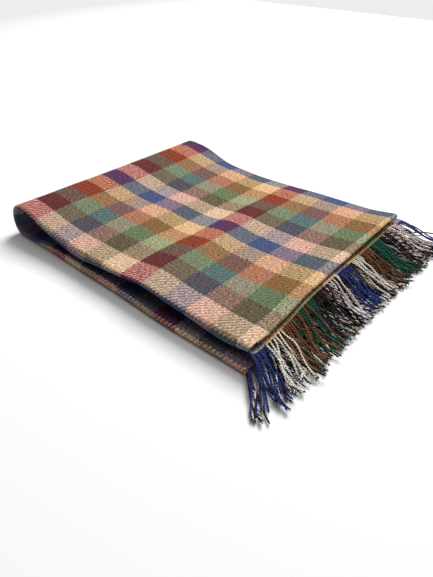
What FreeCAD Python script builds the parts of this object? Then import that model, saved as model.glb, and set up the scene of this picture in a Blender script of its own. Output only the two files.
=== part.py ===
import FreeCAD, Part
import math
import os

# A woollen throw blanket, folded once lengthwise and once crosswise, lying flat.
#
# The cloth has warp stripes that run along X and weft bands that run along Y, and a
# twisted fringe on both short ends. The lengthwise fold lies along the front side (-Y),
# the crosswise fold is a round bend at the left end (-X), and all fringed ends lie at
# the right end (+X). Two folded layers make a pack, and the upper pack lies on the
# lower one. The upper pack swings about the crosswise fold when the throw is opened.
#
# Colours of the outer layers run from the fold as they stand in warp_colours, and those
# of the inner layers the other way.
#
# Everything is first laid out with X = 0 at the centre of the crosswise bend, Y = 0 at
# the centre of the lengthwise fold and Z = 0 on the table. At the end it is moved so that
# the origin is the middle of the whole footprint, on the table.

# Cloth.
cloth_thickness = 3.0
stripe_pitch = 58.0
stripes_per_outer_layer = 12.0
stripes_per_inner_layer = 12.4
layer_length = 787.0

# Folds.
pack_height = 21.0
bend_height = 86.0
upper_lean_deg = 1.0
split_deg = 2.0
hinge_clearance = 5.0

# Turned-under end of the top layer.
hem_height = 9.0
hem_return = 30.0

# Fringe.
warp_colours = ["white", "black", "green", "brown", "cream", "navy"]
strands_per_stripe = 9
strand_diameter = 3.0
strand_root = 5.0
fringe_length = 108.0
fringe_layer_gap = 1.5
front_splay = 70.0
back_splay = 32.0
splay_reach = 150.0

# Sizes that follow from the ones above.
bend_centre_z = bend_height / 2
hinge_x = -bend_centre_z - hinge_clearance
fold_radius = pack_height / 2
fold_mid_radius = fold_radius - cloth_thickness / 2
fold_quarter = fold_mid_radius * math.pi / 2
outer_width = stripes_per_outer_layer * stripe_pitch - fold_quarter
inner_width = stripes_per_inner_layer * stripe_pitch - fold_quarter
strand_radius = strand_diameter / 2
hem_radius = hem_height / 2
hem_centre_x = layer_length - hem_radius

Y_AXIS = FreeCAD.Vector(0, 1, 0)
UP = FreeCAD.Vector(0, 0, 1)
BEND_CENTRE = FreeCAD.Vector(0, 0, bend_centre_z)
HINGE = FreeCAD.Vector(hinge_x, 0, bend_centre_z)
lean = FreeCAD.Placement(FreeCAD.Vector(), FreeCAD.Rotation(Y_AXIS, upper_lean_deg), HINGE)


def point(x, y, z):
    return FreeCAD.Vector(x, y, z)


def layer_section(width, z_low):
    """Cross-section of one flat layer, at X = 0."""
    z_high = z_low + cloth_thickness
    corners = [point(0, 0, z_low), point(0, width, z_low), point(0, width, z_high), point(0, 0, z_high)]
    return Part.Face(Part.makePolygon(corners + corners[:1]))


def half_ring(centre, outer, inner, towards, up):
    """Half of a flat ring that bulges to one side, for the section of a fold."""
    low, high = centre - up * outer, centre + up * outer
    low_in, high_in = centre - up * inner, centre + up * inner
    edges = [
        Part.Arc(low, centre + towards * outer, high).toShape(),
        Part.makeLine(high, high_in),
        Part.Arc(high_in, centre + towards * inner, low_in).toShape(),
        Part.makeLine(low_in, low),
    ]
    return Part.Face(Part.Wire(edges))


def fold_section():
    """Cross-section of the lengthwise fold of a pack, at X = 0."""
    centre = point(0, 0, fold_radius)
    return half_ring(centre, fold_radius, fold_radius - cloth_thickness, -Y_AXIS, UP)


def run(section, length):
    """A section carried along the straight part of a pack."""
    return section.extrude(point(length, 0, 0))


def bend(section):
    """A section carried round the lower half of the crosswise bend."""
    return section.revolve(BEND_CENTRE, Y_AXIS, 90 - split_deg)


def hem():
    """The end of the top layer turned under, as on the bottom of a pack."""
    along = point(1, 0, 0)
    curl = half_ring(
        point(hem_centre_x, 0, hem_radius), hem_radius, hem_radius - cloth_thickness, along, UP
    ).extrude(Y_AXIS * outer_width)
    ply = Part.makeBox(
        hem_return, outer_width, cloth_thickness,
        point(hem_centre_x - hem_return, 0, hem_height - cloth_thickness),
    )
    return curl.fuse(ply).removeSplitter()


def root_on_layer(distance, inner):
    """Y and Z on the middle of the cloth, at a distance from the fold's outermost line."""
    side = 1 if inner else -1
    if distance < fold_quarter:
        angle = distance / fold_mid_radius
        return -fold_mid_radius * math.cos(angle), fold_radius + side * fold_mid_radius * math.sin(angle)
    return distance - fold_quarter, fold_radius + side * fold_mid_radius


def splay(y):
    """How far sideways a strand's tip lies from its root."""
    from_back = (y - (inner_width - splay_reach)) / splay_reach
    from_front = 1 - y / splay_reach
    return back_splay * max(from_back, 0) ** 2 - front_splay * max(from_front, 0) ** 2


def strand(points):
    """One twisted strand of the fringe, as a round rod along straight runs."""
    path = Part.makePolygon(points)
    circle = Part.makeCircle(strand_radius, points[0], points[1] - points[0])
    return path.makePipeShell([Part.Wire(circle)], True, False, 1)


def strand_distances(colour, stripes):
    """Distances from the fold to the strands of one warp colour, over one layer."""
    distances = []
    for index in range(int(stripes * strands_per_stripe)):
        stripe = index // strands_per_stripe
        if warp_colours[stripe % len(warp_colours)] == colour:
            distances.append((index + 0.5) * stripe_pitch / strands_per_stripe)
    return distances


def falling_fringe(distances, inner, tip_height, to_place):
    """Strands that leave the end of a layer and fall to a height above the table.

    They are made for the lower pack, and to_place takes its points to where they end up.
    """
    strands = []
    for distance in distances:
        y, z = root_on_layer(distance, inner)
        root = point(layer_length, y, z)
        knee = root + point(strand_root, 0, 0)
        placed_knee = to_place.multVec(knee)
        aside = splay(y)
        drop = placed_knee.z - tip_height
        ahead = math.sqrt((fringe_length - strand_root) ** 2 - aside ** 2 - drop ** 2)
        tip = to_place.inverse().multVec(placed_knee + point(ahead, aside, -drop))
        strands.append(strand([root, knee, tip]))
    return Part.makeCompound(strands)


def tucked_fringe(distances):
    """Strands of the top layer, which lie flat inside the pack behind the turned end."""
    x = hem_centre_x - hem_return
    z = hem_height - cloth_thickness / 2
    strands = []
    for distance in distances:
        y = root_on_layer(distance, False)[0]
        if y > strand_radius:
            strands.append(strand([point(x, y, z), point(x - fringe_length, y, z)]))
    return Part.makeCompound(strands)


def pack(outer_length):
    """The layers, folds and bends of one pack, as they lie in the lower one."""
    outer = layer_section(outer_width, 0)
    inner = layer_section(inner_width, pack_height - cloth_thickness)
    fold = fold_section()
    return {
        "outer_layer": run(outer, outer_length),
        "inner_layer": run(inner, layer_length),
        "side_fold": run(fold, layer_length),
        "outer_bend": bend(outer),
        "inner_bend": bend(inner),
        "bend_edge": bend(fold),
    }


def in_upper_pack(shape):
    """A shape made for the lower pack, turned over into the upper one."""
    turned = shape.mirror(BEND_CENTRE, UP)
    turned.transformShape(lean.toMatrix())
    return turned


def upper_pack_matrix():
    """The same turning over, for points."""
    turn_over = FreeCAD.Matrix()
    turn_over.A33 = -1
    turn_over.A34 = bend_height
    return lean.toMatrix().multiply(turn_over)


def fringe():
    """The fringe of all four layers: one node for each layer and warp colour."""
    on_table = strand_radius
    on_outer_fringe = on_table + strand_diameter + fringe_layer_gap
    on_both_fringes = on_outer_fringe + strand_diameter + fringe_layer_gap
    in_place = FreeCAD.Matrix()
    turned = upper_pack_matrix()
    nodes = {}
    for outer_colour, inner_colour in zip(warp_colours, reversed(warp_colours)):
        outer = strand_distances(outer_colour, stripes_per_outer_layer)
        inner = strand_distances(outer_colour, stripes_per_inner_layer)
        upper_inner = falling_fringe(inner, True, on_both_fringes, turned)
        nodes["lower_outer_fringe_" + outer_colour] = falling_fringe(outer, False, on_table, in_place)
        nodes["lower_inner_fringe_" + inner_colour] = falling_fringe(inner, True, on_outer_fringe, in_place)
        nodes["upper_inner_fringe_" + inner_colour] = in_upper_pack(upper_inner)
        nodes["upper_outer_fringe_" + outer_colour] = in_upper_pack(tucked_fringe(outer))
    return nodes


def build():
    """All nodes, laid out about the two folds."""
    nodes = {}
    for name, shape in pack(layer_length).items():
        nodes["lower_" + name] = shape
    for name, shape in pack(hem_centre_x).items():
        nodes["upper_" + name] = in_upper_pack(shape)
    nodes["upper_end_hem"] = in_upper_pack(hem())
    nodes.update(fringe())
    return nodes


def footprint(nodes):
    """The box around all nodes."""
    box = FreeCAD.BoundBox()
    for shape in nodes.values():
        box.add(shape.optimalBoundingBox(False, False))
    return box


nodes = build()
box = footprint(nodes)
shift = point(-box.Center.x, -box.Center.y, -box.ZMin)
os.makedirs("parts", exist_ok=True)
for name, shape in nodes.items():
    shape.translate(shift)
    shape.exportStep("parts/" + name + ".step")
    print(name, "solids", len(shape.Solids), "volume", round(shape.Volume), "valid", shape.isValid())
hinge = HINGE + shift
print("overall size", round(box.XLength, 2), round(box.YLength, 2), round(box.ZLength, 2))
print("hinge axis at", round(hinge.x, 3), round(hinge.z, 3))
print("bend centre at", round(shift.x, 3), "fold centre at", round(shift.y, 3))
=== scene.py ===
"""A folded woollen throw: one checked cloth in four layers, with a twisted fringe."""

import math
import random

import bpy
import numpy as np
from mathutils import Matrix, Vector


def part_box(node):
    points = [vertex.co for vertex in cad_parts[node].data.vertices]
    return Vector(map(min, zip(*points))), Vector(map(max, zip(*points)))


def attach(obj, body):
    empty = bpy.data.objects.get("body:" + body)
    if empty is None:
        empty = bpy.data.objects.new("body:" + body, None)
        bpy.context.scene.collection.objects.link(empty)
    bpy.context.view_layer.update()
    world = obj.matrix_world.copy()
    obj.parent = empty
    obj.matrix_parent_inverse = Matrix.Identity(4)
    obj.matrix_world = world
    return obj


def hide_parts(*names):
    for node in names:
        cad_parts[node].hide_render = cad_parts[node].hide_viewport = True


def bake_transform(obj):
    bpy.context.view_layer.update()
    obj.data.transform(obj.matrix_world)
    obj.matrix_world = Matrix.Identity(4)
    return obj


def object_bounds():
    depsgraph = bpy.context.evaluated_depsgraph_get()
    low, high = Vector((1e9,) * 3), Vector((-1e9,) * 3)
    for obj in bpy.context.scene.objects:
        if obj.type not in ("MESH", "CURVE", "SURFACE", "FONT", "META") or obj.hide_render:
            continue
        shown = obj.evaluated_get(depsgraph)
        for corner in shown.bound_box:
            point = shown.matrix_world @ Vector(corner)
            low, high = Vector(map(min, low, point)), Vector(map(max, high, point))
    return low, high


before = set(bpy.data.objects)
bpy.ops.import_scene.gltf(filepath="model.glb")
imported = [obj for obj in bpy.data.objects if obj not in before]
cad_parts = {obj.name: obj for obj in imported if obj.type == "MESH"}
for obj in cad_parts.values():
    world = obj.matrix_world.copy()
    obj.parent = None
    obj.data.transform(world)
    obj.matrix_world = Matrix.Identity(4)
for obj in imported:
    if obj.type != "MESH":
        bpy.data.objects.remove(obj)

cad_box = [list(corner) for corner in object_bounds()]

MM = 0.001
TURN = 2 * math.pi

# Keeps a division by a length of nothing safe.
TINY = 1e-9

# The cloth, in metres.
THICKNESS = 3 * MM
STRIPE = 58 * MM
BAND = 69 * MM
COLOURS = ("white", "black", "green", "brown", "cream", "navy")
REPEAT = len(COLOURS)

# Where the CAD layers are: x runs from the crosswise bend to the fringed end, y from the lengthwise
# folds to the selvedges.
LAYER_LOW, LAYER_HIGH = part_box("lower_outer_layer")
INNER_LOW, INNER_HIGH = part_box("lower_inner_layer")
BEND_X = LAYER_LOW.x
FOLD_Y = LAYER_LOW.y
LENGTH = LAYER_HIGH.x - LAYER_LOW.x
OUTER_WIDTH = LAYER_HIGH.y - LAYER_LOW.y
INNER_WIDTH = INNER_HIGH.y - INNER_LOW.y
TABLE_LAYER = THICKNESS / 2
INNER_LAYER = (INNER_LOW.z + INNER_HIGH.z) / 2

FOLD_RADIUS = 9 * MM
FOLD_ARC = math.pi * FOLD_RADIUS

# How far the white stripe starts ahead of the fold, on the upper and on the lower pack.
STRIPE_OFFSET = 4.7 * MM
LOWER_STRIPE_OFFSET = 22 * MM

# How far the crosswise bend stands out, and how it is shaped and striped.
BEND_OUTER_REACH = 48 * MM
BEND_CORNER_REACH = 54 * MM
BEND_INNER_REACH = 24 * MM
BEND_EDGE_REACH = 45 * MM
BEND_BAND = 55 * MM
BEND_SQUARENESS = 0.55
BAND_LAP = 12 * MM
BAND_LAP_ON_TOP = 60 * MM
BAND_LAP_ON_BEND = (35 * MM, 110 * MM)

# The cloth is folded a little askew: how far each end edge stands out of square, and how far the
# white stripe creeps over the upper pack's fold. The power says how near the end the skew starts.
END_SKEW_FRONT = 16 * MM
END_SKEW_BACK = -13 * MM
END_SKEW_POWER = 4
FOLD_CREEP = 5 * MM
FOLD_CREEP_REACH = 30 * MM
LOWER_CREEP_REACH = 150 * MM

# Bands on the lower pack are as narrow as on the bend up to here.
BEND_REACH_ON_TABLE = 172 * MM

# In millimetres: the top of the stack, and the distance between the upper pack's two layers.
STACK_HEIGHT = 66
PACK_DEPTH = 13.5
LEAST_PACK_DEPTH = 7

# How far the pull of a lengthwise fold, and the shape of the bend's front corner, reach back.
FOLD_PULL_REACH = 50 * MM
BEND_CORNER_FADE = 45 * MM

# The turned-under end of the top layer.
HEM_RADIUS = 3.2 * MM
HEM_RETURN = 30 * MM
HEM_SETBACK = 6 * MM
HEM_SETBACK_POWER = 8
HEM_LEAST_RADIUS_SHARE = 0.45
HEM_LEAST_RETURN_SHARE = 0.25
HEM_START_Y = 16 * MM
HEM_FULL_Y = 60 * MM

# How far a cut edge bulges, as a share of half the thickness.
EDGE_ROUNDING = 0.8

# Cells of the cloth mesh.
LENGTH_CELLS = 148
OUTER_CELLS = 124
INNER_CELLS = 84
FOLD_CELLS = 12
BEND_CELLS = 30
HEM_CELLS = 8
RETURN_CELLS = 4


def smoothstep(start, end, value):
    t = np.clip((value - start) / (end - start), 0, 1)
    return t * t * (3 - 2 * t)


def swell(value, centre, spread):
    return np.exp(-(((value - centre) / spread) ** 2))


def ripples(x, y):
    """Shallow random-looking waves of a soft cloth that lies loose, one or two millimetres high."""
    low = np.sin(x / 0.071 + 1.3 * np.sin(y / 0.12)) * np.sin(y / 0.083 + 0.9)
    high = np.sin(x / 0.031 - y / 0.055) * np.sin(y / 0.041 + x / 0.09 + 2.0)
    return 1.7 * MM * low + 0.8 * MM * high


def top_height(x, y):
    """Height of the top of the stack: high over the bend, sunk at the back, raised at the end.

    The terms are in millimetres, and where they lie is in metres from the bend and the fold.
    """
    crest = 26.0 * swell(x, 0, 0.11)
    sunk_back = 11.0 * swell(x, 0.30, 0.19) * swell(y, 0.62, 0.25)
    raised_end = 14.0 * smoothstep(0.04, 0.23, y) * swell(x, 0.80, 0.085)
    front_swell = 7.0 * swell(x, 0.25, 0.23) * swell(y, 0.15, 0.11)
    front_middle = 5.0 * swell(x, 0.48, 0.15) * swell(y, 0.07, 0.09)
    front_corner = 3.0 * swell(x, 0, 0.05) * swell(y, 0, 0.07)
    ridge_x = 0.47 - 0.10 * (y - 0.3)
    ridge_reach = swell(y, 0.26, 0.24)
    ridge = 11.0 * swell(x, ridge_x, 0.050) * ridge_reach
    hollow = 6.0 * swell(x, ridge_x - 0.11, 0.060) * ridge_reach
    droop = 10.0 * smoothstep(0.61, 0.69, y) * smoothstep(0.0, 0.15, x)
    raised = crest + raised_end + front_swell + front_middle + front_corner + ridge
    height = STACK_HEIGHT + raised - sunk_back - hollow - droop
    return height * MM + ripples(x, y) * smoothstep(0.0, 0.08, x)


def upper_pack_depth(x, y):
    """Distance between the middles of the two layers of the upper pack."""
    loops = 12.0 * swell(x, 0.23, 0.09) + 8.0 * swell(x, 0.73, 0.07) - 7.0 * swell(x, 0.47, 0.11)
    fold = (4.0 + loops) * swell(y, 0, 0.05)
    bend_pinch = 8.0 * swell(x, 0, 0.06) * swell(y, 0, 0.05)
    end_front = 4.0 * swell(x, LENGTH, 0.12) * swell(y, 0.08, 0.11)
    end_pinch = 9.0 * swell(x, LENGTH, 0.05) * swell(y, 0, 0.04)
    end_back = 10.0 * swell(x, LENGTH, 0.12) * smoothstep(0.20, 0.55, y)
    depth = PACK_DEPTH + fold + end_front + end_back - bend_pinch - end_pinch
    return np.maximum(depth, LEAST_PACK_DEPTH) * MM


def upper_outer(x, y):
    return top_height(x, y) - THICKNESS / 2


def upper_inner(x, y):
    return upper_outer(x, y) - upper_pack_depth(x, y)


def lower_inner(x, y):
    sag = 6.0 * smoothstep(0.03, 0.25, y) * smoothstep(0.0, 0.20, x)
    rise = 3.0 * swell(y, 0, 0.04) * smoothstep(0.0, 0.15, x)
    pinch = 7.0 * swell(y, 0, 0.05) * swell(x, 0, 0.06)
    return INNER_LAYER + (rise - sag - pinch) * MM + 0.6 * ripples(x + 0.3, y) * smoothstep(0.0, 0.08, x)


def lower_outer(x, y):
    return np.full_like(x + y, TABLE_LAYER)


def upper_front(x):
    """How far the upper pack's lengthwise fold lies behind its straight line."""
    return (1.5 * np.sin(x / 0.06) + 4.0 * swell(x, 0, 0.06)) * MM


def lower_front(x):
    """The lower pack's fold spreads towards the front, away from the bend."""
    return (-15.0 * smoothstep(0.08, 0.70, x) + 1.0 * np.sin(x / 0.05)) * MM


class Rows:
    """The cloth across its width: outer layer, lengthwise fold, inner layer."""

    def __init__(self):
        outer = np.linspace(OUTER_WIDTH, 0, OUTER_CELLS + 1)[:-1]
        fold = np.linspace(math.pi / 2, -math.pi / 2, FOLD_CELLS + 1)
        inner = np.linspace(0, INNER_WIDTH, INNER_CELLS + 1)[1:]
        self.y = np.concatenate([outer, -FOLD_RADIUS * np.cos(fold), inner])
        self.side = np.concatenate([np.ones(len(outer)), np.sin(fold), -np.ones(len(inner))])
        self.layer_y = np.maximum(self.y, 0)
        round_fold = FOLD_RADIUS * (fold - math.pi / 2)
        self.across = np.concatenate([outer, round_fold, -FOLD_ARC - inner])
        self.front_pull = np.exp(-self.layer_y / FOLD_PULL_REACH)
        self.end_skew = END_SKEW_FRONT + (END_SKEW_BACK - END_SKEW_FRONT) * self.layer_y / OUTER_WIDTH


ROWS = Rows()


def between(outer, inner, side):
    return (outer + inner) / 2 + (outer - inner) / 2 * side


def pack_station(x, outer_height, inner_height, front):
    """One line of cloth points across a pack at x."""
    x_row = np.full_like(ROWS.y, x)
    z = between(outer_height(x_row, ROWS.layer_y), inner_height(x_row, ROWS.layer_y), ROWS.side)
    y = ROWS.y + front(x) * ROWS.front_pull
    return np.stack([x_row, y, z], 1)


def bend_station(angle):
    """One line of cloth points across the crosswise bend: angle runs from -90 at the table to +90."""
    start = np.zeros_like(ROWS.y)
    low_outer, high_outer = lower_outer(start, ROWS.layer_y), upper_outer(start, ROWS.layer_y)
    low_inner, high_inner = lower_inner(start, ROWS.layer_y), upper_inner(start, ROWS.layer_y)
    rise = math.sin(angle)
    outer_z = between(high_outer, low_outer, rise)
    inner_z = between(high_inner, low_inner, rise)
    corner = np.exp(-ROWS.layer_y / BEND_CORNER_FADE)
    inner_reach = between(BEND_EDGE_REACH, BEND_INNER_REACH, 2 * corner - 1)
    outer_reach = between(BEND_CORNER_REACH, BEND_OUTER_REACH, 2 * corner - 1)
    x = -between(outer_reach, inner_reach, ROWS.side) * math.cos(angle) ** BEND_SQUARENESS
    front = between(upper_front(0.0), lower_front(0.0), rise)
    y = ROWS.y + front * ROWS.front_pull
    return np.stack([x, y, between(outer_z, inner_z, ROWS.side)], 1)


def bend_arc():
    """Length of the outer cloth round the middle of the bend, taken as half an ellipse."""
    middle = np.full(1, 0.3)
    height = float(upper_outer(np.zeros(1), middle)[0])
    a = BEND_OUTER_REACH
    b = (height - TABLE_LAYER) / 2
    return math.pi * (3 * (a + b) - math.sqrt((3 * a + b) * (a + 3 * b))) / 2


BEND_ARC = bend_arc()


def band_on_bend(distance):
    """Cloth coordinate, in bands, at a distance round the bend from the top."""
    lap = BAND_LAP * (1 - smoothstep(*BAND_LAP_ON_BEND, distance))
    return lap / BAND - distance / BEND_BAND


def band_on_top(x):
    """The first band of the top starts a little way round the bend."""
    return (x + BAND_LAP * (1 - smoothstep(0, BAND_LAP_ON_TOP, x))) / BAND


def band_on_table(x):
    """Cloth coordinate along the length, in bands, on the lower pack."""
    near = -(BEND_ARC + x) / BEND_BAND
    far = -(BEND_ARC + BEND_REACH_ON_TABLE) / BEND_BAND - (x - BEND_REACH_ON_TABLE) / BAND
    return near if x < BEND_REACH_ON_TABLE else far


def hem_share():
    """1 where the top layer's end is fully turned under, 0 where it isn't, for each row."""
    share = smoothstep(HEM_START_Y, HEM_FULL_Y, ROWS.y)
    return np.where(ROWS.side == 1, share, 0)


def hem_stations(end_x):
    """The top layer's end: round a small roll and back under."""
    share = hem_share()
    radius = HEM_RADIUS * (HEM_LEAST_RADIUS_SHARE + (1 - HEM_LEAST_RADIUS_SHARE) * share)
    back = HEM_RETURN * (HEM_LEAST_RETURN_SHARE + (1 - HEM_LEAST_RETURN_SHARE) * share)
    stations = []
    for k in range(1, HEM_CELLS + 1):
        angle = math.pi * k / HEM_CELLS
        x = end_x + radius * math.sin(angle)
        z = upper_outer(np.full_like(ROWS.y, end_x), ROWS.layer_y) - radius * (1 - math.cos(angle))
        stations.append((np.stack([x, ROWS.y, z], 1), radius * angle))
    for k in range(1, RETURN_CELLS + 1):
        x = end_x - back * k / RETURN_CELLS
        z = upper_outer(x, ROWS.layer_y) - 2 * radius
        stations.append((np.stack([x, ROWS.y, z], 1), radius * math.pi + back * k / RETURN_CELLS))
    return stations


def band_drift(along, across):
    """How far a band strays from straight, as the weft of a soft cloth does."""
    return 1.8 * MM * np.sin(across / 0.10 + 1.5 * np.sin(along / 0.17))


def stripe_drift(along, across):
    return 1.5 * MM * np.sin(along / 0.12 + across / 0.2)


class Cloth:
    """The whole cloth as one grid of middle points, cloth coordinates and quads."""

    def __init__(self):
        self.points, self.flat, self.quads = [], [], []

    def add_station(self, points, band_at, offset):
        index = len(self.points)
        self.points.append(points)
        along = np.broadcast_to(band_at, ROWS.y.shape) * BAND
        across = ROWS.across + offset
        drift = np.stack([band_drift(along, across), stripe_drift(along, across)], 1)
        self.flat.append(np.stack([along, across], 1) + drift)
        return index

    def join(self, first, second, keep=None):
        """Quads between two neighbouring stations, for the kept rows."""
        rows = len(ROWS.y)
        for j in range(rows - 1):
            if keep is None or (keep[j] and keep[j + 1]):
                a, b = first * rows + j, second * rows + j
                self.quads.append((a, a + 1, b + 1, b))


def lower_offset(x):
    """The cloth is folded a little askew, so the lower pack's fold runs nearer to the white stripe."""
    middle = 0.5 * (STRIPE_OFFSET + LOWER_STRIPE_OFFSET)
    creep = float(smoothstep(0, LOWER_CREEP_REACH, x))
    return middle + 0.5 * (LOWER_STRIPE_OFFSET - STRIPE_OFFSET) * creep


def upper_offset():
    return STRIPE_OFFSET + FOLD_CREEP * np.exp(-ROWS.layer_y / FOLD_CREEP_REACH)


def build_cloth():
    """Three runs of stations, lower pack, bend and upper pack, that share their seam stations."""
    cloth = Cloth()
    runs = {"lower_cloth": [], "bend_cloth": [], "upper_cloth": []}
    for x in np.linspace(LENGTH, 0, LENGTH_CELLS + 1):
        points = pack_station(x, lower_outer, lower_inner, lower_front)
        askew = ROWS.end_skew * (x / LENGTH) ** END_SKEW_POWER
        points[:, 0] += askew
        along = band_on_table(x) - askew / BAND
        runs["lower_cloth"].append(cloth.add_station(points, along, lower_offset(x)))
    runs["bend_cloth"].append(runs["lower_cloth"][-1])
    for k in range(1, BEND_CELLS):
        angle = math.pi * (k / BEND_CELLS - 0.5)
        band_at = band_on_bend(BEND_ARC * (1 - k / BEND_CELLS))
        offset = upper_offset() + (lower_offset(0) - upper_offset()) * (1 - k / BEND_CELLS)
        runs["bend_cloth"].append(cloth.add_station(bend_station(angle), band_at, offset))
    start = pack_station(0.0, upper_outer, upper_inner, upper_front)
    top = [cloth.add_station(start, band_on_top(0.0), upper_offset())]
    runs["bend_cloth"].append(top[0])
    for x in np.linspace(0, LENGTH, LENGTH_CELLS + 1)[1:]:
        points = pack_station(x, upper_outer, upper_inner, upper_front)
        outer_share = np.clip(ROWS.side + 1, 0, 1)
        set_back = outer_share * (HEM_SETBACK + HEM_RADIUS) * (x / LENGTH) ** HEM_SETBACK_POWER
        points[:, 0] += ROWS.end_skew * (x / LENGTH) ** END_SKEW_POWER - set_back
        top.append(cloth.add_station(points, band_on_top(points[:, 0]), upper_offset()))
    runs["upper_cloth"] = top
    return cloth, runs


def thicken(points, flat, quads, normals):
    """A closed sheet: both faces of the cloth at half a thickness, with rounded edges."""
    count = len(points)
    half = THICKNESS / 2
    vertices = [points + normals * half, points - normals * half]
    vertex_normals = [normals, -normals]
    uv = [flat, flat]
    faces = list(quads)
    faces += [tuple(reversed([i + count for i in q])) for q in quads]
    edges = {}
    for q in quads:
        for a, b in zip(q, q[1:] + q[:1]):
            if (b, a) in edges:
                del edges[(b, a)]
            else:
                edges[(a, b)] = q
    rim = sorted({i for e in edges for i in e})
    place = {v: 2 * count + k for k, v in enumerate(rim)}
    outward = np.zeros((count, 3))
    for a, b in edges:
        out = np.cross(points[b] - points[a], (normals[a] + normals[b]) / 2)
        out = out / max(np.linalg.norm(out), TINY)
        outward[a] += out
        outward[b] += out
    outward = outward[rim]
    outward = outward / np.maximum(np.linalg.norm(outward, axis=1, keepdims=True), TINY)
    vertices.append(points[rim] + outward * half * EDGE_ROUNDING)
    vertex_normals.append(outward)
    uv.append(flat[rim])
    for a, b in edges:
        faces.append((b, a, place[a], place[b]))
        faces.append((place[b], place[a], a + count, b + count))
    return np.concatenate(vertices), faces, np.concatenate(vertex_normals), np.concatenate(uv)


def cloth_normals(points, quads):
    normals = np.zeros_like(points)
    index = np.array(quads)
    across = points[index[:, 2]] - points[index[:, 0]]
    along = points[index[:, 3]] - points[index[:, 1]]
    face = np.cross(across, along)
    for corner in range(4):
        np.add.at(normals, index[:, corner], face)
    return normals / np.maximum(np.linalg.norm(normals, axis=1, keepdims=True), TINY)


def mesh_object(name, vertices, faces, normals=None, uv=None):
    """A mesh piece from layout coordinates, moved into the row frame."""
    mesh = bpy.data.meshes.new(name)
    mesh.from_pydata((vertices + np.array([BEND_X, FOLD_Y, 0])).tolist(), [], faces)
    if uv is not None:
        layer = mesh.uv_layers.new(name="cloth")
        corners = np.zeros(len(mesh.loops), int)
        mesh.loops.foreach_get("vertex_index", corners)
        layer.data.foreach_set("uv", uv[corners].ravel())
    mesh.shade_smooth()
    mesh.validate()
    if normals is not None:
        mesh.normals_split_custom_set_from_vertices(normals.tolist())
    obj = bpy.data.objects.new(name, mesh)
    bpy.context.scene.collection.objects.link(obj)
    return obj


def make_cloth_pieces():
    cloth, runs = build_cloth()
    quads = {}
    for name, stations in runs.items():
        cloth.quads = []
        for first, second in zip(stations, stations[1:]):
            cloth.join(first, second)
        quads[name] = cloth.quads
    cloth.quads = []
    turned = hem_share() > 0
    last = runs["upper_cloth"][-1]
    end = cloth.points[last]
    end_x = end[:, 0]
    previous = last
    for points, arc in hem_stations(end_x):
        station = cloth.add_station(points, (end_x + arc) / BAND, upper_offset())
        cloth.join(previous, station, turned)
        previous = station
    quads["upper_cloth"] = quads["upper_cloth"] + cloth.quads
    points = np.concatenate(cloth.points)
    flat = np.concatenate(cloth.flat)
    everything = quads["lower_cloth"] + quads["bend_cloth"] + quads["upper_cloth"]
    normals = cloth_normals(points, everything)
    pieces = {}
    for name, own in quads.items():
        used = sorted({i for q in own for i in q})
        renumber = {old: new for new, old in enumerate(used)}
        own = [tuple(renumber[i] for i in q) for q in own]
        vertices, faces, vertex_normals, uv = thicken(points[used], flat[used], own, normals[used])
        pieces[name] = mesh_object(name, vertices, faces, vertex_normals, uv)
    edges = {
        "lower": cloth.points[runs["lower_cloth"][0]],
        "upper": cloth.points[last],
    }
    return pieces, edges


# The fringe. Lengths and heights vary by these limits, and the strands towards both sides are
# longer.
FRINGE_SEED = 11
STRANDS_PER_STRIPE = 9
STRAND_LENGTH = 121 * MM
LENGTH_LIMITS = (0.90, 1.04)
SIDE_GAIN = 0.13
FRONT_GAIN_FADE = 90 * MM
BACK_GAIN_FROM_TO = (0.30, 0.55)
STRAND_ROOT = 4 * MM
PLY_RADIUS = 1.4 * MM
PLY_OFFSET = 0.95 * MM
TWIST_PITCH = 13 * MM
STRAND_CELLS = 60
HIDDEN_STRAND_CELLS = 20
PLY_SIDES = 6

# Which way the strands turn, and between which distances from the fold that comes or goes.
FRONT_YAW = math.radians(-20)
FRONT_YAW_FROM_TO = (0.0, 0.38)
BACK_YAW = math.radians(9)
BACK_YAW_FROM_TO = (0.40, 0.70)

# How much further each layer's strands turn at the front corner, and the furthest any turns.
CORNER_YAWS = (math.radians(-36), math.radians(-26), math.radians(-12))
CORNER_FADE = 65 * MM
LEAST_YAW = math.radians(-54)
LEAST_YAW_SPREAD = math.radians(18)
YAW_SPREAD = math.radians(6)
STRIPE_YAW_SPREAD = math.radians(5)

# The strands lie in layers over the table, up to LIE_SPREAD millimetres higher. Those that start
# lower rise at once, and the others fall until they land. What a strand loses in its waves
# shortens its run.
TABLE_CLEARANCE = 3.6 * MM
LAYER_STEP = 3.6 * MM
LIE_SPREAD = 2.2
RISE_SHARE = 0.13
LANDING_LIMITS = (0.80, 0.95)
RUN_LIMITS = (0.94, 0.98)

# The last part of most strands gets the black yarn as painted shade, for the shadowed strand tips.
TIP_SHARE = 0.035
PAINTED_TIP_SHADE = COLOURS.index("black")
PALE_TIP_LIMIT = -0.4

# A strand's plies part and thin out at the tip, and are drawn tight where they leave the cloth.
TIP_FLARE = 0.9
TIP_FLARE_REACH = 5 * MM
TIP_THINNING = 0.45
TIP_THINNING_REACH = 3 * MM
ROOT_TIGHTNESS = 0.75
ROOT_THINNING = 0.15
ROOT_REACH = 6 * MM

# How a strand wanders: sideways in a wave, up and down in bumps, both in millimetres, and round in
# a curl that is a share of its length. Waves and bumps grow over the first part of the strand.
WAVE_SIZE = (1.5, 4.5)
WAVE_TURNS = (0.5, 1.2)
BUMP_SIZE = (0.3, 3.2)
BUMP_TURNS = (0.8, 2.0)
CURL_SPREAD = 0.13
CURL_LIMITS = (-0.18, 0.25)
CURL_POWER = 2.2
WAVE_GROWS = (0, 0.35)
BUMP_GROWS = (0.05, 0.4)

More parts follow.
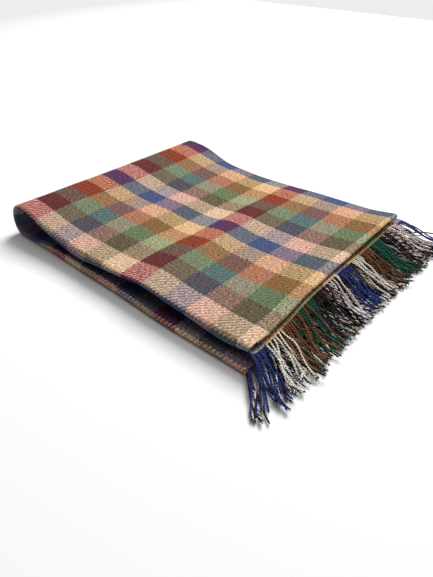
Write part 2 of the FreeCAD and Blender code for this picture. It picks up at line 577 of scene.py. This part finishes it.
# The hidden fringe, tucked under the top layer.
TUCK_MARGIN = 2 * MM
TUCK_LEAN_SPREAD = 0.03
TUCK_WAVE = 1.2 * MM
TUCK_DEPTH = 2.6 * MM
TUCK_SETTLES = (0, 0.2)

# The fringe spreads no further than this beyond the sides, and bends to stay within it.
SPREAD = 29 * MM
SPREAD_SOFT = 30 * MM
SPREAD_FRONT = cad_box[0][1] - FOLD_Y - SPREAD
SPREAD_BACK = cad_box[1][1] - FOLD_Y + SPREAD

# What each colour's strands are plied from, and how often.
STRAND_MIX = {
    "white": (("white", "white", 7), ("white", "black", 3), ("black", "black", 2)),
    "black": (("black", "black", 7), ("black", "white", 2), ("brown", "black", 2), ("white", "white", 2)),
    "green": (("green", "green", 9), ("green", "black", 1), ("brown", "brown", 2)),
    "brown": (("brown", "brown", 8), ("brown", "black", 2), ("green", "green", 2)),
    "cream": (("cream", "cream", 8), ("cream", "black", 2), ("black", "black", 2)),
    "navy": (("navy", "navy", 12), ("navy", "black", 1)),
}


def splay(y, level):
    """Direction of the fringe across the end: towards the front at the front, outwards at the back."""
    front = FRONT_YAW * (1 - smoothstep(*FRONT_YAW_FROM_TO, y))
    back = BACK_YAW * smoothstep(*BACK_YAW_FROM_TO, y)
    return float(front + back) + CORNER_YAWS[level] * math.exp(-max(y, 0) / CORNER_FADE)


def side_length(y):
    """The strands towards both sides are a little longer than those in the middle."""
    front = SIDE_GAIN * math.exp(-max(y, 0) / FRONT_GAIN_FADE)
    return 1 + front + SIDE_GAIN * float(smoothstep(*BACK_GAIN_FROM_TO, y))


def edge_point(edge, across):
    """The point on a layer's end edge at a distance across the cloth.

    The distances fall from row to row, and interp needs them rising.
    """
    rising = slice(None, None, -1)
    return np.array([np.interp(across, ROWS.across[rising], edge[rising, k]) for k in range(3)])


def within_spread(y):
    """Bends the part of a strand that strays past the sides back along them."""
    over = np.maximum(y - (SPREAD_BACK - SPREAD_SOFT), 0)
    under = np.maximum(SPREAD_FRONT + SPREAD_SOFT - y, 0)
    y = y - over + SPREAD_SOFT * np.tanh(over / SPREAD_SOFT)
    return y + under - SPREAD_SOFT * np.tanh(under / SPREAD_SOFT)


def strand_path(root, yaw, length, low, rng, cells):
    """Leaves the cloth level, falls to where it lies, and wanders a little on the way."""
    s = np.linspace(0, 1, cells + 1)
    drop = root[2] - low
    run = math.sqrt(length**2 - drop**2) * rng.uniform(*RUN_LIMITS)
    landing = rng.uniform(*LANDING_LIMITS)
    fall = smoothstep(0, landing if drop > 0 else RISE_SHARE, s)
    wave_size = rng.uniform(*WAVE_SIZE) * MM
    wave = wave_size * np.sin(TURN * rng.uniform(*WAVE_TURNS) * s + rng.uniform(0, TURN))
    wave = (wave - wave[0]) * smoothstep(*WAVE_GROWS, s)
    curl = float(np.clip(rng.gauss(0, CURL_SPREAD), *CURL_LIMITS)) * length * s**CURL_POWER
    bump_size = rng.uniform(*BUMP_SIZE) * MM
    bump = bump_size * (1 + np.sin(TURN * rng.uniform(*BUMP_TURNS) * s + rng.uniform(0, TURN)))
    ahead = np.array([math.cos(yaw), math.sin(yaw), 0])
    beside = np.array([-math.sin(yaw), math.cos(yaw), 0])
    path = root + np.outer(run * s, ahead) + np.outer(wave + curl, beside)
    path[:, 1] = within_spread(path[:, 1])
    path[:, 2] = root[2] - drop * fall + bump * smoothstep(*BUMP_GROWS, s)
    return path


def tubes(path, phase):
    """Two plies twisted round a path, as rings of vertices."""
    tangent = np.gradient(path, axis=0)
    tangent /= np.linalg.norm(tangent, axis=1, keepdims=True)
    beside = np.cross(tangent, [0, 0, 1.0])
    beside /= np.linalg.norm(beside, axis=1, keepdims=True)
    above = np.cross(beside, tangent)
    steps = np.linalg.norm(np.diff(path, axis=0), axis=1)
    along = np.concatenate([[0], np.cumsum(steps)])
    left = along[-1] - along
    at_root = np.exp(-along / ROOT_REACH)
    loose = 1 + TIP_FLARE * np.exp(-left / TIP_FLARE_REACH)
    loose = loose * (1 - ROOT_TIGHTNESS * at_root)
    thin = 1 - TIP_THINNING * np.exp(-left / TIP_THINNING_REACH)
    thin = thin * (1 - ROOT_THINNING * at_root)
    rings = []
    for ply in range(2):
        turn = phase + TURN * along / TWIST_PITCH + math.pi * ply
        centre = path + (PLY_OFFSET * loose * np.cos(turn))[:, None] * beside
        centre = centre + (PLY_OFFSET * loose * np.sin(turn))[:, None] * above
        ring = []
        for k in range(PLY_SIDES):
            around = TURN * k / PLY_SIDES + turn
            radius = PLY_RADIUS * thin
            sideways = (radius * np.cos(around))[:, None] * beside
            upwards = (radius * np.sin(around))[:, None] * above
            ring.append(centre + (sideways + upwards))
        rings.append(np.stack(ring, 1))
    return rings


class StrandBundle:
    """The strands of one colour of one layer, joined in one mesh with a material for each ply."""

    def __init__(self):
        self.vertices, self.faces, self.finish = [], [], []
        self.count = 0

    def add(self, path, phase, plies, cells):
        # Painted shade: most strands end in a few cells of black yarn.
        first_shaded_tip_cell = cells * (1 - TIP_SHARE) if math.cos(phase) > PALE_TIP_LIMIT else cells
        for ring, colour in zip(tubes(path, phase), plies):
            self.vertices.append(ring.reshape(-1, 3))
            finish = COLOURS.index(colour)
            for i in range(cells):
                for k in range(PLY_SIDES):
                    a = self.count + i * PLY_SIDES + k
                    b = self.count + i * PLY_SIDES + (k + 1) % PLY_SIDES
                    self.faces.append((a, a + PLY_SIDES, b + PLY_SIDES, b))
                    self.finish.append(PAINTED_TIP_SHADE if i >= first_shaded_tip_cell else finish)
            first = [self.count + k for k in range(PLY_SIDES)]
            last = [self.count + cells * PLY_SIDES + k for k in reversed(range(PLY_SIDES))]
            self.faces += [tuple(first), tuple(last)]
            self.finish += [finish, finish]
            self.count += (cells + 1) * PLY_SIDES


def stripe_strands(first, last):
    """(stripe colour, distance across the cloth) of each strand between two distances."""
    found = []
    for stripe in range(math.floor(first / STRIPE), math.ceil(last / STRIPE)):
        for k in range(STRANDS_PER_STRIPE):
            at = (stripe + (k + 0.5) / STRANDS_PER_STRIPE) * STRIPE
            if first < at < last:
                found.append((COLOURS[stripe % REPEAT], at))
    return found


def pick_plies(colour, rng):
    mix = STRAND_MIX[colour]
    chosen = rng.choices(mix, [m[2] for m in mix])[0]
    return chosen[:2]


def falling_fringe(edge, first, last, offset, level, rng):
    """The fringe of one layer's end, which falls to the table over the layers below."""
    bundles = {c: StrandBundle() for c in COLOURS}
    stripe_yaw = {}
    for colour, at in stripe_strands(first + offset, last + offset):
        root = edge_point(edge, at - offset) - np.array([STRAND_ROOT, 0, 0])
        stripe = math.floor(at / STRIPE)
        if stripe not in stripe_yaw:
            stripe_yaw[stripe] = rng.gauss(0, STRIPE_YAW_SPREAD)
        yaw = splay(root[1], level) + stripe_yaw[stripe] + rng.gauss(0, YAW_SPREAD)
        yaw = max(yaw, LEAST_YAW + rng.uniform(0, LEAST_YAW_SPREAD))
        length = STRAND_LENGTH * side_length(root[1]) * rng.uniform(*LENGTH_LIMITS)
        low = TABLE_CLEARANCE + LAYER_STEP * level + rng.uniform(0, LIE_SPREAD) * MM
        path = strand_path(root, yaw, length, low, rng, STRAND_CELLS)
        bundles[colour].add(path, rng.uniform(0, TURN), pick_plies(colour, rng), STRAND_CELLS)
    return bundles


def tucked_fringe(edge, rng):
    """The top layer's own fringe, turned under with the hem and hidden inside the pack."""
    bundles = {c: StrandBundle() for c in COLOURS}
    for colour, at in stripe_strands(FOLD_ARC, OUTER_WIDTH + STRIPE_OFFSET):
        y = at - STRIPE_OFFSET
        x = edge_point(edge, y)[0] - HEM_RETURN + TUCK_MARGIN
        s = np.linspace(0, 1, HIDDEN_STRAND_CELLS + 1)
        lean = rng.gauss(0, TUCK_LEAN_SPREAD)
        path_x = x - STRAND_LENGTH * s
        path_y = y + STRAND_LENGTH * s * lean + TUCK_WAVE * np.sin(TURN * s + rng.uniform(0, TURN))
        path_y = np.minimum(path_y, OUTER_WIDTH - TUCK_MARGIN)
        hung = upper_outer(path_x, path_y) - THICKNESS / 2 - TUCK_DEPTH
        start = upper_outer(np.full(1, x), np.full(1, y))[0] - 2 * HEM_RADIUS
        path_z = start + (hung - start) * smoothstep(*TUCK_SETTLES, s)
        path = np.stack([path_x, path_y, path_z], 1)
        bundles[colour].add(path, rng.uniform(0, TURN), pick_plies(colour, rng), HIDDEN_STRAND_CELLS)
    return bundles


def make_fringe(edges):
    """One piece for each layer and colour: {CAD node: piece}."""
    rng = random.Random(FRINGE_SEED)
    mid = -FOLD_ARC / 2
    inner_end = -FOLD_ARC - INNER_WIDTH
    lower, upper = LOWER_STRIPE_OFFSET, STRIPE_OFFSET
    layers = {
        "lower_outer": falling_fringe(edges["lower"], mid, OUTER_WIDTH, lower, 0, rng),
        "lower_inner": falling_fringe(edges["lower"], inner_end, mid, lower, 1, rng),
        "upper_inner": falling_fringe(edges["upper"], inner_end, mid, upper, 2, rng),
        "upper_outer": tucked_fringe(edges["upper"], rng),
    }
    pieces = {}
    for layer, bundles in layers.items():
        for colour, bundle in bundles.items():
            node = f"{layer}_fringe_{colour}"
            piece = mesh_object(f"{node}_strands", np.concatenate(bundle.vertices), bundle.faces)
            for c in COLOURS:
                piece.data.materials.append(YARN[c])
            piece.data.polygons.foreach_set("material_index", bundle.finish)
            pieces[node] = piece
    return pieces


# The yarns. Warp yarns run along the cloth and give the stripes, weft yarns give the bands.
WARP = (
    (0.66, 0.41, 0.32),
    (0.076, 0.046, 0.036),
    (0.10, 0.18, 0.107),
    (0.26, 0.077, 0.023),
    (0.65, 0.36, 0.18),
    (0.036, 0.058, 0.175),
)
WEFT = (
    (0.153, 0.012, 0.018),
    (0.23, 0.205, 0.125),
    (0.073, 0.093, 0.15),
    (0.43, 0.243, 0.19),
    (0.14, 0.138, 0.063),
    (0.54, 0.41, 0.237),
)
STRAND_COLOUR = {
    "white": (0.86, 0.75, 0.71),
    "black": (0.018, 0.014, 0.016),
    "green": (0.014, 0.105, 0.072),
    "brown": (0.21, 0.095, 0.042),
    "cream": (0.92, 0.86, 0.74),
    "navy": (0.026, 0.048, 0.19),
}
TWILL = 11.5 * MM

# The weave. The edges of stripes and bands follow the twill in teeth and wander with the yarn, and
# fibres and heather are noises stretched along the twill.
WANDER_SCALE = 160
WANDER = 2.0 * MM
TEETH = 2.4 * MM
GRAIN_STRETCH = 0.35
FIBRE_SCALE = 340
HEATHER_SCALE = 300
PATCH_SCALE = 22

# The share of the warp's colour: from the twill, and more or less with the fibres.
WARP_SHARE = 0.35
TWILL_SHARE = 0.30
FIBRE_SHARE = 2.0
SHARE_LIMITS = (0.05, 0.95)

# Light and dark: painted shade in the twill's valleys and painted light on its ridges, random tone from
# the heather, and tone in large faint patches.
TWILL_VALLEY_SHADE = 0.82
TWILL_SHADE = 0.34
HEATHER_SHADE = 3.6
PATCH_SHADE = 0.16
DARKEST = 0.25

# The relief of the cloth and of the strands.
WEAVE_RELIEF = 0.8 * MM
WEAVE_RELIEF_STRENGTH = 0.6
TWILL_RELIEF_SHARE = 0.7
YARN_RELIEF_SHARE = 0.2
FIBRE_RELIEF_SHARE = 0.6
STRAND_RELIEF = 0.3 * MM
STRAND_RELIEF_STRENGTH = 0.5

# Streaks of fibre along the strands, and paler and darker stretches.
STREAK_SCALE = 900
STREAK_SHADE = 1.0
STRAND_PATCH_SCALE = 90
STRAND_PATCH_SHADE = 0.6


class Nodes:
    """Short calls for building a material's nodes."""

    def __init__(self, name):
        self.material = bpy.data.materials.new(name)
        self.material.use_nodes = True
        self.tree = self.material.node_tree
        self.shader = self.tree.nodes["Principled BSDF"]

    def new(self, kind, **settings):
        node = self.tree.nodes.new(kind)
        for name, value in settings.items():
            setattr(node, name, value)
        return node

    def link(self, output, socket):
        self.tree.links.new(output, socket)

    def math(self, operation, a, b=None, c=None):
        node = self.new("ShaderNodeMath", operation=operation)
        for socket, value in zip(node.inputs, (a, b, c)):
            if isinstance(value, (int, float)):
                socket.default_value = value
            elif value is not None:
                self.link(value, socket)
        return node.outputs[0]

    def mix(self, share, a, b, blend="MIX"):
        node = self.new("ShaderNodeMix", data_type="RGBA", blend_type=blend)
        for socket, value in zip((node.inputs[0], node.inputs[6], node.inputs[7]), (share, a, b)):
            if isinstance(value, (int, float)):
                socket.default_value = value
            elif isinstance(value, tuple):
                socket.default_value = (*value, 1)
            else:
                self.link(value, socket)
        return node.outputs[2]

    def noise(self, vector, scale, detail=2.0):
        node = self.new("ShaderNodeTexNoise")
        node.inputs["Scale"].default_value = scale
        node.inputs["Detail"].default_value = detail
        self.link(vector, node.inputs["Vector"])
        return node.outputs["Fac"]

    def ramp(self, fac, colours):
        """One flat colour after another, in equal steps, as square roots to be squared once mixed."""
        node = self.new("ShaderNodeValToRGB")
        ramp = node.color_ramp
        ramp.interpolation = "CONSTANT"
        for k, colour in enumerate(colours):
            stop = ramp.elements[k] if k < 2 else ramp.elements.new(k / len(colours))
            stop.position = k / len(colours)
            stop.color = (*[math.sqrt(c) for c in colour], 1)
        self.link(fac, node.inputs[0])
        return node.outputs[0]

    def wave(self, distance, period):
        """0 to 1 to 0 once every period."""
        turned = self.math("MULTIPLY", distance, TURN / period)
        return self.math("MULTIPLY_ADD", self.math("SINE", turned), 0.5, 0.5)

    def around_one(self, value, amount):
        """A value from 0 to 1 as a factor that is 1 in the middle and changes by this amount."""
        return self.math("MULTIPLY_ADD", value, amount, 1 - amount / 2)

    def bump(self, height, distance, strength):
        node = self.new("ShaderNodeBump")
        node.inputs["Strength"].default_value = strength
        node.inputs["Distance"].default_value = distance
        self.link(height, node.inputs["Height"])
        self.link(node.outputs[0], self.shader.inputs["Normal"])


def wool_finish(nodes, roughness, sheen):
    """Settings that are the same all over a woollen surface."""
    nodes.shader.inputs["Roughness"].default_value = roughness
    nodes.shader.inputs["Specular IOR Level"].default_value = 0.08
    nodes.shader.inputs["Sheen Weight"].default_value = sheen
    nodes.shader.inputs["Sheen Roughness"].default_value = 0.6


def woven_wool():
    """Checks of stripes and bands in a diagonal twill of heathered yarn."""
    n = Nodes("woven_wool")
    uv = n.new("ShaderNodeUVMap", uv_map="cloth").outputs[0]
    split = n.new("ShaderNodeSeparateXYZ")
    n.link(uv, split.inputs[0])
    along, across = split.outputs[0], split.outputs[1]

    wander = n.noise(uv, WANDER_SCALE, 2)
    shift = n.math("MULTIPLY_ADD", wander, WANDER, -WANDER / 2)
    diagonal = n.wave(n.math("ADD", n.math("SUBTRACT", along, across), shift), TWILL)
    teeth = n.math("MULTIPLY_ADD", diagonal, TEETH, -TEETH / 2)
    shift = n.math("ADD", shift, teeth)
    stripe = n.math("FRACT", n.math("DIVIDE", n.math("ADD", across, shift), STRIPE * REPEAT))
    band = n.math("FRACT", n.math("DIVIDE", n.math("SUBTRACT", along, shift), BAND * REPEAT))
    warp = n.ramp(stripe, WARP)
    weft = n.ramp(band, WEFT)

    grain = n.new("ShaderNodeCombineXYZ")
    n.link(n.math("SUBTRACT", along, across), grain.inputs[0])
    n.link(n.math("MULTIPLY", n.math("ADD", along, across), GRAIN_STRETCH), grain.inputs[1])
    fibres = n.noise(grain.outputs[0], FIBRE_SCALE, 3)
    heather = n.noise(grain.outputs[0], HEATHER_SCALE, 2)
    share = n.math("MULTIPLY_ADD", diagonal, TWILL_SHARE, WARP_SHARE)
    share = n.math("ADD", share, n.math("MULTIPLY_ADD", fibres, FIBRE_SHARE, -FIBRE_SHARE / 2))
    share = n.math("MINIMUM", n.math("MAXIMUM", share, SHARE_LIMITS[0]), SHARE_LIMITS[1])
    blended = n.mix(share, weft, warp)
    colour = n.mix(1.0, blended, blended, "MULTIPLY")

    # Painted shade in the twill's valleys and painted light on its ridges, times the heather's tone.
    shade = n.math("MULTIPLY_ADD", diagonal, TWILL_SHADE, TWILL_VALLEY_SHADE)
    shade = n.math("MULTIPLY", shade, n.around_one(heather, HEATHER_SHADE))
    shade = n.math("MAXIMUM", shade, DARKEST)
    patchy = n.around_one(n.noise(uv, PATCH_SCALE, 3), PATCH_SHADE)
    shade = n.math("MULTIPLY", shade, patchy)
    grey = n.new("ShaderNodeCombineColor")
    for socket in grey.inputs[:3]:
        n.link(shade, socket)
    colour = n.mix(1.0, colour, grey.outputs[0], "MULTIPLY")
    n.link(colour, n.shader.inputs["Base Color"])

    yarns = n.wave(n.math("ADD", along, across), TWILL / 2)
    ridges = n.math("MULTIPLY", diagonal, TWILL_RELIEF_SHARE)
    height = n.math("ADD", ridges, n.math("MULTIPLY", yarns, YARN_RELIEF_SHARE))
    height = n.math("ADD", height, n.math("MULTIPLY", fibres, FIBRE_RELIEF_SHARE))
    n.bump(height, WEAVE_RELIEF, WEAVE_RELIEF_STRENGTH)
    wool_finish(n, roughness=0.95, sheen=0.01)
    return n.material


def strand_yarn(name, colour):
    """Twisted wool with fine streaks of lighter and darker fibre."""
    n = Nodes(f"yarn_{name}")
    place = n.new("ShaderNodeTexCoord").outputs["Object"]
    streaks = n.noise(place, STREAK_SCALE, 3)
    patches = n.noise(place, STRAND_PATCH_SCALE, 2)
    shade = n.around_one(streaks, STREAK_SHADE)
    shade = n.math("MULTIPLY", shade, n.around_one(patches, STRAND_PATCH_SHADE))
    grey = n.new("ShaderNodeCombineColor")
    for socket in grey.inputs[:3]:
        n.link(shade, socket)
    n.link(n.mix(1.0, colour, grey.outputs[0], "MULTIPLY"), n.shader.inputs["Base Color"])
    n.bump(streaks, STRAND_RELIEF, STRAND_RELIEF_STRENGTH)
    wool_finish(n, roughness=0.9, sheen=0.06)
    return n.material


# How bright the world is as a light, and as the camera sees it.
WORLD_LIGHT = 0.10
WORLD_BACKDROP = 0.85


def plain_floor():
    n = Nodes("pale_floor")
    n.shader.inputs["Base Color"].default_value = (0.86, 0.86, 0.86, 1)
    n.shader.inputs["Roughness"].default_value = 0.8
    n.shader.inputs["Specular IOR Level"].default_value = 0.2
    return n.material


def make_floor():
    reach = 4.0
    mesh = bpy.data.meshes.new("floor")
    corners = [(-reach, -reach, 0), (reach, -reach, 0), (reach, reach, 0), (-reach, reach, 0)]
    mesh.from_pydata(corners, [], [(0, 1, 2, 3)])
    mesh.materials.append(plain_floor())
    floor = bpy.data.objects.new("floor", mesh)
    bpy.context.scene.collection.objects.link(floor)


def soft_light(name, place, size, power):
    """A square light that looks at the middle of the footprint."""
    light = bpy.data.lights.new(name, "AREA")
    light.size = size
    light.energy = power
    obj = bpy.data.objects.new(name, light)
    obj.location = place
    obj.rotation_euler = (-Vector(place)).to_track_quat("-Z", "Y").to_euler()
    bpy.context.scene.collection.objects.link(obj)


def make_lights():
    soft_light("key", place=(-1.0, 3.6, 4.6), size=3.2, power=474)
    soft_light("overhead", place=(1.0, 0.2, 5.0), size=3.5, power=80)
    world = bpy.data.worlds.new("studio")
    world.use_nodes = True
    tree = world.node_tree
    background = tree.nodes["Background"]
    background.inputs["Color"].default_value = (1, 1, 1, 1)
    background.inputs["Strength"].default_value = WORLD_LIGHT
    backdrop = tree.nodes.new("ShaderNodeBackground")
    backdrop.inputs["Color"].default_value = (1, 1, 1, 1)
    backdrop.inputs["Strength"].default_value = WORLD_BACKDROP
    seen = tree.nodes.new("ShaderNodeLightPath").outputs["Is Camera Ray"]
    pick = tree.nodes.new("ShaderNodeMixShader")
    tree.links.new(seen, pick.inputs[0])
    tree.links.new(background.outputs[0], pick.inputs[1])
    tree.links.new(backdrop.outputs[0], pick.inputs[2])
    tree.links.new(pick.outputs[0], tree.nodes["World Output"].inputs[0])
    bpy.context.scene.world = world
    bpy.context.scene.view_settings.view_transform = "Standard"


def make_camera():
    """Looks from the fringed front corner, 36 degrees above the cloth."""
    aim = Vector((0.197, -0.231, 0.070))
    azimuth = math.radians(-48.76)
    elevation = math.radians(35.8)
    distance = 1.149
    level = distance * math.cos(elevation)
    rise = distance * math.sin(elevation)
    offset = Vector((level * math.cos(azimuth), level * math.sin(azimuth), rise))
    camera = bpy.data.cameras.new("camera")
    camera.sensor_width = 36
    camera.lens = 32.4
    obj = bpy.data.objects.new("camera", camera)
    obj.location = aim + offset
    obj.rotation_euler = (-offset).to_track_quat("-Z", "Y").to_euler()
    bpy.context.scene.collection.objects.link(obj)
    bpy.context.scene.camera = obj


YARN = {name: strand_yarn(name, colour) for name, colour in STRAND_COLOUR.items()}
make_camera()
make_lights()
make_floor()
cloths, fringe_edges = make_cloth_pieces()
wool = woven_wool()
for piece in cloths.values():
    piece.data.materials.append(wool)
strands = make_fringe(fringe_edges)

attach(cloths["lower_cloth"], "lower_half")
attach(cloths["upper_cloth"], "upper_half")
for node, piece in strands.items():
    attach(piece, "lower_half" if node.startswith("lower") else "upper_half")
    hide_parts(node)

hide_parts("lower_outer_layer", "lower_inner_layer", "lower_side_fold")
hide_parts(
    "upper_outer_layer",
    "upper_inner_layer",
    "upper_side_fold",
    "upper_end_hem",
)
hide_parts("lower_outer_bend", "lower_inner_bend", "lower_bend_edge")
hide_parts("upper_outer_bend", "upper_inner_bend", "upper_bend_edge")
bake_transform(cloths["bend_cloth"])
